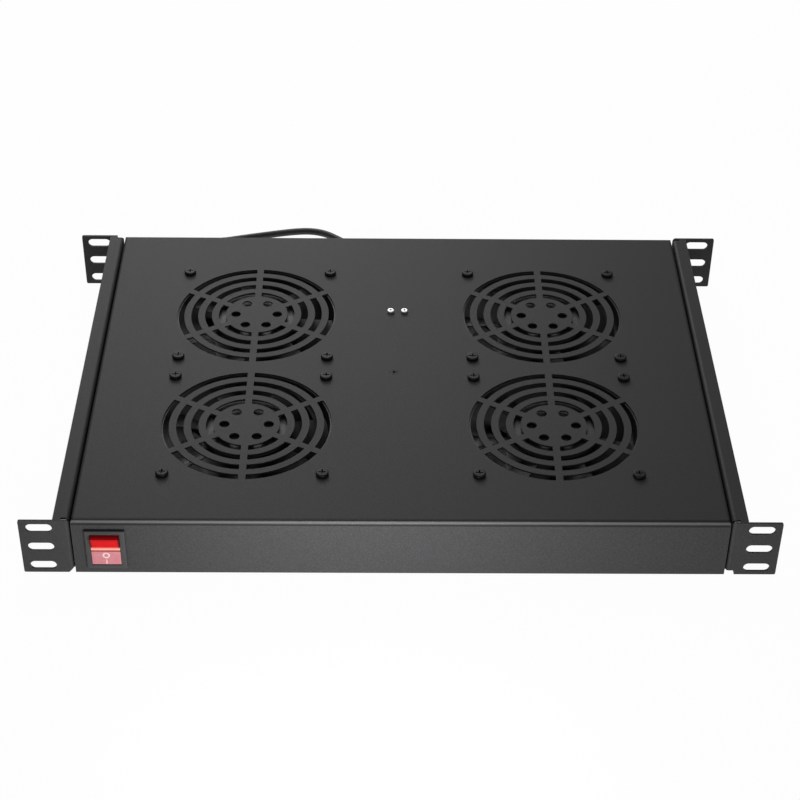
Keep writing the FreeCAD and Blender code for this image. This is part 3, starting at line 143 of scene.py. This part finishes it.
class Value:
    """One output of a shader node. A sum or product of values adds the Math nodes that it needs."""

    def __init__(self, tree, output):
        self.tree = tree
        self.output = output

    def node(self, kind, settings=None, inputs=None, output=0):
        """Adds any node: its settings first, then a number or a value for each socket."""
        made = self.tree.nodes.new(kind)
        for name, setting in (settings or {}).items():
            setattr(made, name, setting)
        for socket, content in (inputs or {}).items():
            if isinstance(content, Value):
                self.tree.links.new(content.output, made.inputs[socket])
            else:
                made.inputs[socket].default_value = content
        return Value(self.tree, made.outputs[output])

    def math(self, operation, first, second=0.0):
        return self.node("ShaderNodeMath", {"operation": operation}, {0: first, 1: second})

    def __add__(self, other):
        return self.math("ADD", self, other)

    __radd__ = __add__

    def __sub__(self, other):
        return self.math("SUBTRACT", self, other)

    def __rsub__(self, other):
        return self.math("SUBTRACT", other, self)

    def __mul__(self, other):
        return self.math("MULTIPLY", self, other)

    __rmul__ = __mul__

    def larger(self, other):
        return self.math("MAXIMUM", self, other)

    def absolute(self):
        return self.math("ABSOLUTE", self)

    def sine(self):
        return self.math("SINE", self)

    def axis(self, number):
        """X, Y or Z of a place, as 0, 1 or 2."""
        return self.node("ShaderNodeSeparateXYZ", None, {0: self}, number)


def new_material(name):
    """An empty node material, its output node, and the place on the piece as a value."""
    material = bpy.data.materials.new(name)
    material.use_nodes = True
    tree = material.node_tree
    tree.nodes.clear()
    out = tree.nodes.new("ShaderNodeOutputMaterial")
    place = Value(tree, tree.nodes.new("ShaderNodeTexCoord").outputs["Object"])
    return material, out, place


floor_material, floor_out, place = new_material("white_floor")
path = place.tree.nodes.new("ShaderNodeLightPath")
seen_directly, mirrored, seen_through, bounced = [
    Value(place.tree, path.outputs[f"Is {kind} Ray"])
    for kind in ("Camera", "Glossy", "Transmission", "Diffuse")
]
paper = place.node("ShaderNodeBsdfDiffuse", None, {"Color": (0.9, 0.9, 0.9, 1)})
glow = place.node("ShaderNodeEmission", None, {"Color": (1, 1, 1, 1), "Strength": 1.0})


def spread(mask, low, high):
    """The mask stretched so that low becomes 0 and high becomes 1, kept inside that range."""
    inputs = {"Value": mask, "From Min": low, "From Max": high}
    return mask.node("ShaderNodeMapRange", {"clamp": True}, inputs)


def band(mask, levels, origin=0.0):
    """1 between the middle two of four levels from the origin, fading to 0 at the outer two."""
    start, full, fading, end = [origin + level for level in levels]
    return spread(mask, start, full) * spread(mask, end, fading)


def shaded(side, front, rear, edge):
    """A patch of the floor across both sides of the middle, between two depths, with a soft edge."""
    across = spread(place.axis(0).absolute(), side, side - edge)
    return across * band(place.axis(1), (front - edge, front, rear - edge, rear))


# The floor between the tray's walls and under the rails lies in their shade.
tray_shade = shaded(side=0.2220, front=-0.1575, rear=0.1665, edge=0.001)
rail_shade = shaded(side=0.2340, front=-0.1145, rear=0.1300, edge=0.007)
seen = seen_directly.larger(mirrored).larger(seen_through)
looked_at = seen * FLOOR_WHITE * (1 - tray_shade.larger(rail_shade))
white_share = looked_at.larger(FLOOR_BOUNCE * bounced.larger(mirrored))
from_above = place.node("ShaderNodeMixShader", None, {0: white_share, 1: paper, 2: glow})
clear = place.node("ShaderNodeBsdfTransparent")
underside = place.node("ShaderNodeNewGeometry", None, {}, "Backfacing")
one_sided = place.node("ShaderNodeMixShader", None, {0: underside, 1: from_above, 2: clear})
place.tree.links.new(one_sided.output, floor_out.inputs["Surface"])
floor_mesh = bpy.data.meshes.new("floor")
floor_corners = [(FLOOR_REACH * x, FLOOR_REACH * y, 0) for x, y in ((-1, -1), (1, -1), (1, 1), (-1, 1))]
floor_mesh.from_pydata(floor_corners, [], [(0, 1, 2, 3)])
floor_mesh.materials.append(floor_material)
floor = bpy.data.objects.new("floor", floor_mesh)
scene.collection.objects.link(floor)

world = bpy.data.worlds.new("studio")
scene.world = world
world.use_nodes = True
sky = world.node_tree
sky.nodes.clear()
sky_out = sky.nodes.new("ShaderNodeOutputWorld")
sky_path = sky.nodes.new("ShaderNodeLightPath")
sky_seen = Value(sky, sky_path.outputs["Is Camera Ray"])
lit, white = [
    sky_seen.node("ShaderNodeBackground", None, {"Color": (1, 1, 1, 1), "Strength": strength})
    for strength in (SKY_LIGHT, 1.0)
]
both = sky_seen.node("ShaderNodeMixShader", None, {0: sky_seen, 1: lit, 2: white})
sky.links.new(both.output, sky_out.inputs["Surface"])


def softbox(name, place, target, width, height, power):
    """A wide soft lamp that faces a point."""
    lamp = bpy.data.objects.new(name, bpy.data.lights.new(name, "AREA"))
    lamp.data.shape = "RECTANGLE"
    lamp.data.size = width
    lamp.data.size_y = height
    lamp.data.energy = power
    lamp.location = place
    lamp.rotation_euler = (Vector(target) - Vector(place)).to_track_quat("-Z", "Y").to_euler()
    scene.collection.objects.link(lamp)


softbox("front_box", (-0.03, -0.385, 0.022), (-0.02, -0.16, 0.022), width=0.17, height=0.05, power=0.93)
softbox("rear_box", (-0.36, 2.0, 0.93), (-0.05, 0.05, 0), width=1.1, height=0.6, power=10.3)
softbox("top_box", (-0.12, 0.62, 0.75), (-0.03, 0.05, 0), width=0.7, height=0.5, power=1.55)


# The tray and the rails: steel sheet, cut and folded, under a black powder coat with a fine
# leathery grain. Screws with spacers and nuts hold one rail on each side of the tray.
def surface(name, colour, roughness, metallic=0.0, specular=0.5, bump=None, bump_depth=0.0):
    """A finish on one shader. Its colour, roughness and bump are functions of the place."""
    material, out, place = new_material(name)
    inputs = {"Metallic": metallic, "Specular IOR Level": specular}
    inputs["Base Color"] = colour(place)
    inputs["Roughness"] = roughness(place)
    if bump:
        relief = {"Strength": 1.0, "Distance": bump_depth, "Height": bump(place)}
        inputs["Normal"] = place.node("ShaderNodeBump", None, relief)
    shader = place.node("ShaderNodeBsdfPrincipled", None, inputs)
    place.tree.links.new(shader.output, out.inputs["Surface"])
    return material


def noise(place, scale, detail, rough=0.5):
    """An uneven mask from 0 to 1. The scale is in patches to the metre."""
    inputs = {"Vector": place, "Scale": scale, "Detail": detail, "Roughness": rough}
    return place.node("ShaderNodeTexNoise", None, inputs)


def two_tones(under, over, mask):
    """One colour over another by a mask. A colour is three numbers or a value."""
    under, over = [tone if isinstance(tone, Value) else (*tone, 1) for tone in (under, over)]
    return mask.node("ShaderNodeMix", {"data_type": "RGBA"}, {0: mask, 6: under, 7: over}, 2)


def dress(node_names, material):
    """Gives the named pieces a finish in place of their plain one."""
    for name in node_names:
        mesh = nodes[name].data
        mesh.materials.clear()
        mesh.materials.append(material)


def powder_tone(place):
    """Near-black powder with a fine speckle."""
    return two_tones((0.026, 0.026, 0.027), (0.046, 0.046, 0.048), spread(noise(place, 1500, 2), 0.35, 0.7))


def powder_coat(name, colour):
    """The black powder coat over sheet steel, with its fine leathery grain."""
    return surface(
        name,
        colour,
        lambda place: 0.46 + 0.14 * noise(place, 500, 3),
        bump=lambda place: noise(place, 1300, 2.5, 0.6) + 0.4 * noise(place, 3000, 1),
        bump_depth=0.00007,
        specular=0.25,
    )


# How far past the middle of the front bend each band of painted shade, and the painted highlight, starts, is
# full, fades and ends: on to the top above zero, down the front below.
BEND_SHADE_ABOVE = (0.0012, 0.0018, 0.0030, 0.0042)
BEND_SHADE_BELOW = (-0.0036, -0.0030, -0.0022, -0.0016)
BEND_HIGHLIGHT = (-0.0014, -0.0006, 0.0006, 0.0014)
STRIP, STRIP_END = 0.0044, 0.0050
tray_low, tray_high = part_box("tray_body")


def near_bend(place):
    """Only the strip of sheet beside the front bend."""
    behind = spread(place.axis(1), tray_low[1] + STRIP_END, tray_low[1] + STRIP)
    return behind * spread(place.axis(2), tray_high[2] - STRIP_END, tray_high[2] - STRIP)


def tray_tone(place):
    """A painted highlight along the front bend, with a band of painted shade on each side of it."""
    past = (place.axis(1) - tray_low[1]) - (tray_high[2] - place.axis(2))
    # Painted shade: a dark band on the top behind the bend and one on the front below it.
    bend_shade = near_bend(place) * band(past, BEND_SHADE_ABOVE).larger(band(past, BEND_SHADE_BELOW))
    tones = two_tones(powder_tone(place), (0.006, 0.006, 0.007), bend_shade)
    # Painted highlight: a pale line along the middle of the bend.
    return two_tones(tones, (0.15, 0.15, 0.153), near_bend(place) * band(past, BEND_HIGHLIGHT))


dress(["left_rail", "right_rail"], powder_coat("black_powder_coat", powder_tone))
dress(["tray_body"], powder_coat("black_powder_coat_tray", tray_tone))


# The fans: a die-cast frame in black paint, a moulded impeller on a steel cage, and the motor's
# laminated core with its copper coils. A blank foil disc covers the motor plate underneath.
FANS = ("front_left", "front_right", "rear_left", "rear_right")
SHEET_PITCH, WIRE_PITCH = 0.001, 0.0007
cast_paint = surface(
    "cast_black_paint",
    lambda place: two_tones((0.009, 0.009, 0.010), (0.018, 0.018, 0.019), noise(place, 160, 2)),
    lambda place: 0.36 + 0.25 * noise(place, 240, 2),
    bump=lambda place: noise(place, 420, 3),
    bump_depth=0.0002,
)
moulded_black = surface(
    "moulded_black",
    lambda place: two_tones((0.010, 0.010, 0.011), (0.018, 0.018, 0.019), noise(place, 90, 2)),
    lambda place: 0.38 + 0.2 * noise(place, 500, 2),
    bump=lambda place: noise(place, 1500, 1),
    bump_depth=0.00005,
)
turned_steel = surface(
    "turned_steel",
    lambda place: two_tones((0.42, 0.42, 0.43), (0.6, 0.6, 0.6), noise(place, 120, 2)),
    lambda place: 0.28 + 0.2 * noise(place, 300, 2),
    metallic=1.0,
)


def layers(place, pitch):
    """Thin bands up the Z axis, one for each pitch."""
    return (place.axis(2) * (2 * math.pi / pitch)).sine()


def sheet_tone(place):
    """Bright sheet edges with dark joints between them."""
    return two_tones((0.10, 0.10, 0.11), (0.26, 0.26, 0.27), spread(layers(place, SHEET_PITCH), -0.4, 0.4))


def copper_tone(place):
    """Bright copper turns with dark gaps between them."""
    return two_tones((0.28, 0.07, 0.02), (0.62, 0.21, 0.07), spread(layers(place, WIRE_PITCH), -0.5, 0.6))


laminations = surface(
    "steel_laminations",
    sheet_tone,
    lambda place: 0.45 + 0.1 * noise(place, 200, 2),
    metallic=1.0,
    bump=lambda place: layers(place, SHEET_PITCH),
    bump_depth=0.0001,
)
copper_wire = surface(
    "enamelled_copper",
    copper_tone,
    lambda place: 0.25 + 0.2 * noise(place, 500, 2),
    metallic=0.8,
    bump=lambda place: layers(place, WIRE_PITCH),
    bump_depth=0.0002,
)
dress([f"{fan}_fan_frame" for fan in FANS], cast_paint)
dress([f"{fan}_fan_impeller" for fan in FANS], moulded_black)
dress([f"{fan}_fan_{piece}" for fan in FANS for piece in ("cage", "shaft")] + ["fan_bearings"], turned_steel)
dress([f"{fan}_fan_stator" for fan in FANS], laminations)
dress([f"{fan}_fan_windings" for fan in FANS], copper_wire)

foil = surface(
    "brushed_foil",
    lambda place: two_tones((0.60, 0.60, 0.61), (0.76, 0.76, 0.77), noise(place, 260, 3)),
    lambda place: 0.30 + 0.2 * noise(place, 700, 2),
    metallic=1.0,
    bump=lambda place: noise(place, 130, 2),
    bump_depth=0.00008,
)


def lathe(name, profile, middle, material, body):
    """A round piece turned about the Z axis from pairs of radius and height."""
    steps = 96
    shape = bmesh.new()
    rings = []
    for radius, height in profile:
        ring = []
        for step in range(steps if radius else 1):
            turn = 2 * math.pi * step / steps
            x, y = middle[0] + radius * math.cos(turn), middle[1] + radius * math.sin(turn)
            ring.append(shape.verts.new((x, y, height)))
        rings.append(ring)
    for inner, outer in zip(rings, rings[1:]):
        for step in range(steps):
            around = ((inner, step), (outer, step), (outer, step + 1), (inner, step + 1))
            corners = [ring[number % len(ring)] for ring, number in around]
            shape.faces.new(list(dict.fromkeys(corners)))
    bmesh.ops.recalc_face_normals(shape, faces=shape.faces)
    mesh = bpy.data.meshes.new(name)
    shape.to_mesh(mesh)
    shape.free()
    mesh.shade_smooth()
    mesh.materials.append(material)
    piece = bpy.data.objects.new(name, mesh)
    scene.collection.objects.link(piece)
    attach(piece, body)


FOIL_UNDER, FOIL_RIDGE, FOIL_EDGE, FOIL_TOP = -0.00010, -0.00022, -0.00004, 0.00005
FOIL_PROFILE = [
    (0, FOIL_UNDER), (0.0236, FOIL_UNDER), (0.0240, FOIL_RIDGE), (0.0246, FOIL_RIDGE), (0.0250, FOIL_UNDER),
    (0.0262, FOIL_UNDER), (0.0265, FOIL_EDGE), (0.0265, FOIL_TOP), (0, FOIL_TOP),
]
for fan in FANS:
    low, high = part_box(f"{fan}_fan_frame")
    middle = [(low[axis] + high[axis]) / 2 for axis in range(2)]
    profile = [(radius, low[2] + height) for radius, height in FOIL_PROFILE]
    lathe(f"{fan}_fan_foil", profile, middle, foil, "chassis")


# The fasteners: black screws through the tray and the rails, bright plated screws for the
# terminal block, and plated nuts and spacers inside. The plug's pins are plated as well.
black_zinc = surface(
    "black_zinc",
    lambda place: two_tones((0.006, 0.006, 0.007), (0.016, 0.016, 0.017), noise(place, 700, 2)),
    lambda place: 0.35 + 0.2 * noise(place, 400, 2),
    metallic=0.6,
)
bright_zinc = surface(
    "bright_zinc",
    lambda place: two_tones((0.62, 0.62, 0.63), (0.85, 0.85, 0.84), noise(place, 500, 3)),
    lambda place: 0.22 + 0.2 * noise(place, 900, 2),
    metallic=1.0,
)
dress(["fan_screws", "rail_screws", "earth_screw"], black_zinc)
dress(["block_screws", "block_nuts", "earth_nut", "fan_nuts"], bright_zinc)
dress(["rail_nuts", "rail_spacers", "plug_pins", "terminal_screws"], bright_zinc)


# The rocker switch: a black nylon case snapped into the front wall, with a translucent red
# rocker. A ring and a bar for off and on are printed on the rocker's lower half. The cord's bush
# and tie, and the plugs and clips under the tray, are black nylon too.
nylon = surface(
    "black_nylon",
    lambda place: two_tones((0.018, 0.018, 0.019), (0.028, 0.028, 0.029), noise(place, 200, 2)),
    lambda place: 0.45 + 0.15 * noise(place, 900, 2),
    bump=lambda place: noise(place, 1600, 1),
    bump_depth=0.00004,
)
dress(["strain_relief", "fan_plugs", "cable_clips", "cord_tie"], nylon)
bezel_low, bezel_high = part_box("switch_housing")
rocker_low, rocker_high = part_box("switch_rocker")
rocker_middle = (rocker_low[0] + rocker_high[0]) / 2
# How far below the bezel's top the painted shade on its top edge starts and is full.
BEZEL_FACE, BEZEL_EDGE = 0.0011, 0.0004


def bezel_tone(place):
    """Dark on the face, with painted shade along the narrow top edge."""
    top_edge_shade = spread(place.axis(2), bezel_high[2] - BEZEL_FACE, bezel_high[2] - BEZEL_EDGE)
    face = two_tones((0.026, 0.026, 0.027), (0.036, 0.036, 0.037), noise(place, 300, 2))
    # Painted shade: the top edge is made near black.
    return two_tones(face, (0.004, 0.004, 0.004), top_edge_shade)


case_plastic = surface(
    "switch_case_plastic",
    bezel_tone,
    lambda place: 0.55 + 0.15 * noise(place, 900, 2),
    bump=lambda place: noise(place, 1600, 1),
    bump_depth=0.00004,
)
dress(["switch_housing"], case_plastic)

# The height of the valley between the rocker's halves, and the levels above it of the painted shade in the
# groove, the painted highlight along the valley and the painted shade on the top. Painted shade also darkens
# the sides away from the rocker's middle.
VALLEY, HALVES_MEET = 0.0206, 0.0002
GROOVE_SHADE = (-0.0011, -0.0007, -0.0003, 0.0001)
VALLEY_HIGHLIGHT = (0, 0.0003, 0.0016, 0.0036)
TOP_SHADE_START, TOP_SHADE_FULL = 0.0090, 0.0135
SIDE_SHADE_START, SIDE_SHADE_FULL = 0.0078, 0.0088


def red_tone(place):
    """Deep red with painted shade on the top and sides, a painted highlight along the valley, painted shade
    in the groove, and a pink painted reflection on the pressed half.
    """
    height = place.axis(2)
    sides = spread((place.axis(0) - rocker_middle).absolute(), SIDE_SHADE_START, SIDE_SHADE_FULL)
    edges = spread(height, VALLEY + TOP_SHADE_START, VALLEY + TOP_SHADE_FULL).larger(sides)
    # The pressed half is pink: the red with a painted reflection of the light from above.
    lower = two_tones((0.46, 0.165, 0.190), (0.60, 0.245, 0.265), noise(place, 500, 2))
    # Painted shade darkens the upper half towards its top and its sides.
    upper = two_tones((0.58, 0.002, 0.005), (0.13, 0.002, 0.003), edges)
    tones = two_tones(lower, upper, spread(height, VALLEY - HALVES_MEET, VALLEY))
    # Painted shade in the groove just under the valley.
    tones = two_tones(tones, (0.10, 0.010, 0.016), band(height, GROOVE_SHADE, VALLEY))
    # Painted highlight: a pale line along the valley.
    return two_tones(tones, (0.95, 0.38, 0.29), band(height, VALLEY_HIGHLIGHT, VALLEY))


red_plastic = surface(
    "translucent_red",
    red_tone,
    lambda place: 0.2 + 0.1 * noise(place, 300, 2),
    specular=0.06,
)
dress(["switch_rocker"], red_plastic)

white_print = surface(
    "white_print",
    lambda place: two_tones((0.62, 0.42, 0.43), (0.80, 0.62, 0.62), noise(place, 900, 2)),
    lambda place: 0.4 + 0.1 * noise(place, 900, 2),
)
marks = bmesh.new()
FACE_DEPTH = 0.0002
PRINT_OUT, PRINT_IN = 0.00006, 0.00004


def printed(outline, inner=None):
    """A thin raised print on the rocker's lower face. A ring has an inner outline as well."""
    face = bezel_low[1] + FACE_DEPTH
    loops = [
        [marks.verts.new((x, face + depth, z)) for depth in (-PRINT_OUT, PRINT_IN) for x, z in edge]
        for edge in (outline, inner) if edge
    ]
    count = len(outline)
    pairs = [(n, (n + 1) % count) for n in range(count)]
    for loop in loops:
        for here, ahead in pairs:
            marks.faces.new([loop[here], loop[ahead], loop[count + ahead], loop[count + here]])
    if inner:
        for here, ahead in pairs:
            marks.faces.new([loops[0][here], loops[0][ahead], loops[1][ahead], loops[1][here]])
    else:
        marks.faces.new(loops[0][:count])


def round_outline(radius, height, half_run=0.0):
    """A circle at a height in the middle of the rocker, or an upright bar with round ends."""
    steps = 40
    outline = []
    for n in range(steps):
        turn = 2 * math.pi * n / steps
        middle = height + half_run if math.sin(turn) >= 0 else height - half_run
        outline.append((rocker_middle + radius * math.cos(turn), middle + radius * math.sin(turn)))
    return outline


RING_HEIGHT, RING_OUT, RING_IN = 0.0163, 0.0024, 0.0013
BAR_HEIGHT, BAR_HALF_WIDTH, BAR_HALF_RUN = 0.0108, 0.0004, 0.0014
printed(round_outline(RING_OUT, RING_HEIGHT), round_outline(RING_IN, RING_HEIGHT))
printed(round_outline(BAR_HALF_WIDTH, BAR_HEIGHT, BAR_HALF_RUN))
bmesh.ops.recalc_face_normals(marks, faces=marks.faces)
marks_mesh = bpy.data.meshes.new("switch_marks")
marks.to_mesh(marks_mesh)
marks.free()
marks_mesh.materials.append(white_print)
marks_piece = bpy.data.objects.new("switch_marks", marks_mesh)
scene.collection.objects.link(marks_piece)
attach(marks_piece, "rocker")


# The sheaths: matt black PVC on the mains cord, its plug and the cords under the tray, a braided
# sleeve around the loom of the switch and the block, and dark grey PVC on their single wires.
BRAID_WAVES = 3200
pvc = surface(
    "black_pvc",
    lambda place: two_tones((0.014, 0.014, 0.014), (0.026, 0.026, 0.026), noise(place, 150, 2)),
    lambda place: 0.42 + 0.15 * noise(place, 600, 2),
    bump=lambda place: noise(place, 1300, 2),
    bump_depth=0.00006,
)
curve.materials.append(pvc)
dress(["plug_body", "inner_cord", "fan_cords"], pvc)


def braid(place):
    """Two sets of fine slanting waves that cross."""
    one = (place.axis(0) + place.axis(1) + place.axis(2)) * BRAID_WAVES
    two = (place.axis(0) - place.axis(1) + place.axis(2)) * BRAID_WAVES
    return one.sine() * two.sine()


sleeve = surface(
    "braided_sleeve",
    lambda place: two_tones((0.008, 0.008, 0.008), (0.035, 0.035, 0.036), spread(braid(place), -0.5, 0.7)),
    lambda place: 0.5 + 0.1 * noise(place, 300, 2),
    bump=braid,
    bump_depth=0.0002,
)
dress(["wiring_loom"], sleeve)
wire_pvc = surface(
    "wire_insulation",
    lambda place: two_tones((0.030, 0.030, 0.031), (0.05, 0.05, 0.052), noise(place, 60, 1)),
    lambda place: 0.35 + 0.1 * noise(place, 300, 2),
)
dress(["switch_leads", "block_leads"], wire_pvc)


# The terminal block: natural nylon, held under the tray by two screws, with a brass tube in each
# way. The earth lug and the switch's blades are brass too. The switch has a lamp and a steel pin.
natural_nylon = surface(
    "natural_nylon",
    lambda place: two_tones((0.66, 0.62, 0.53), (0.76, 0.73, 0.65), noise(place, 150, 2)),
    lambda place: 0.4 + 0.15 * noise(place, 400, 2),
    bump=lambda place: noise(place, 900, 2),
    bump_depth=0.00006,
)
brass = surface(
    "brass",
    lambda place: two_tones((0.55, 0.38, 0.14), (0.75, 0.56, 0.25), noise(place, 260, 3)),
    lambda place: 0.28 + 0.2 * noise(place, 500, 2),
    metallic=1.0,
)
lamp_glass = surface(
    "lamp_glass",
    lambda place: two_tones((0.85, 0.45, 0.3), (0.95, 0.7, 0.5), noise(place, 300, 2)),
    lambda place: 0.08 + 0.05 * noise(place, 300, 2),
)
dress(["terminal_block"], natural_nylon)
dress(["terminal_inserts", "earth_lug", "switch_terminals"], brass)
dress(["switch_lamp"], lamp_glass)
dress(["switch_pin"], turned_steel)
